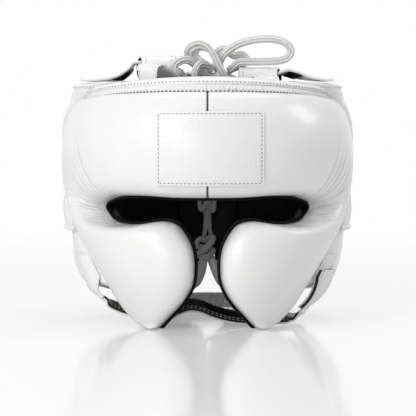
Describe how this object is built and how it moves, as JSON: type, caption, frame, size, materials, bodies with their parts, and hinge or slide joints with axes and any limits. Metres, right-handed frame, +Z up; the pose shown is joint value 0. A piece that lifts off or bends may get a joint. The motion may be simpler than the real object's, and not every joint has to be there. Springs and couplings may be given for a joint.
{
  "type": "boxing headguard",
  "caption": "Padded leather boxing headguard with an open face, cheek and ear pads, a laced crown, a laced back of the neck and a chin strap with a hook-and-loop closure.",
  "frame": {"origin": "on the floor under the middle of the guard's box, laces left out", "axes": "+X the wearer's left as seen from the front (right in the front view), -Y out of the face, +Z up to the crown"},
  "size_m": [0.2402, 0.244, 0.2273],
  "materials": {
    "white_leather": "satin",
    "black_lining": "satin",
    "black_binding": "gloss",
    "foam": "matte",
    "white_lace": "matte",
    "hook_and_loop": "matte"
  },
  "bodies": {
    "guard": {"cheek_foam_left": "foam", "cheek_foam_right": "foam", "crown_strap_left": "white_leather", "crown_strap_right": "white_leather", "crown_tab_left": "white_leather", "crown_tab_right": "white_leather", "ear_cover_left": "white_leather", "ear_cover_right": "white_leather", "ear_foam_left": "foam", "ear_foam_right": "foam", "ear_lining_left": "black_lining", "ear_lining_right": "black_lining", "ear_strip_left": "white_leather", "ear_strip_right": "white_leather", "face_binding": "black_binding", "forehead_foam": "foam", "forehead_patch": "white_leather", "front_cover_left": "white_leather", "front_cover_right": "white_leather", "front_lining_left": "black_lining", "front_lining_right": "black_lining", "lace_bight": "white_lace", "lace_coil": "white_lace", "lace_end": "white_lace", "lace_knot": "white_lace", "lace_loop": "white_lace", "lace_ring": "white_lace", "lace_run": "white_lace", "lace_sleeve_left": "white_leather", "lace_sleeve_right": "white_leather", "loop_tape": "hook_and_loop", "neck_band": "white_leather", "neck_bow": "white_lace", "neck_cord_left": "white_lace", "neck_cord_right": "white_lace", "neck_cover_left": "white_leather", "neck_cover_right": "white_leather", "neck_foam_left": "foam", "neck_foam_right": "foam", "neck_knot": "white_lace", "neck_lining_left": "black_lining", "neck_lining_right": "black_lining", "neck_tab_left": "white_leather", "neck_tab_right": "white_leather", "neck_tail_left": "white_lace", "neck_tail_right": "white_lace", "neck_tongue": "black_lining", "rear_crown_strap": "white_leather", "strap_anchor_right": "white_leather", "strap_root_left": "white_leather", "top_band": "white_leather"},
    "chin_strap": {"chin_strap_leather": "white_leather", "chin_strap_lining": "black_lining"},
    "closure_flap": {"closure_flap": "white_leather", "hook_tape": "hook_and_loop"}
  },
  "joints": [
    {"name": "chin_strap_swing", "type": "hinge", "parent": "guard", "child": "chin_strap", "pos_m": [-0.08571, -0.03446, 0.022], "axis": [-0.2079, 0.9781, 0], "range_deg": [0, 75]},
    {"name": "flap_peel", "type": "hinge", "parent": "chin_strap", "child": "closure_flap", "pos_m": [0.0763, -0.03246, 0.00984], "axis": [0.2079, 0.9781, 0], "range_deg": [0, 85]}
  ]
}
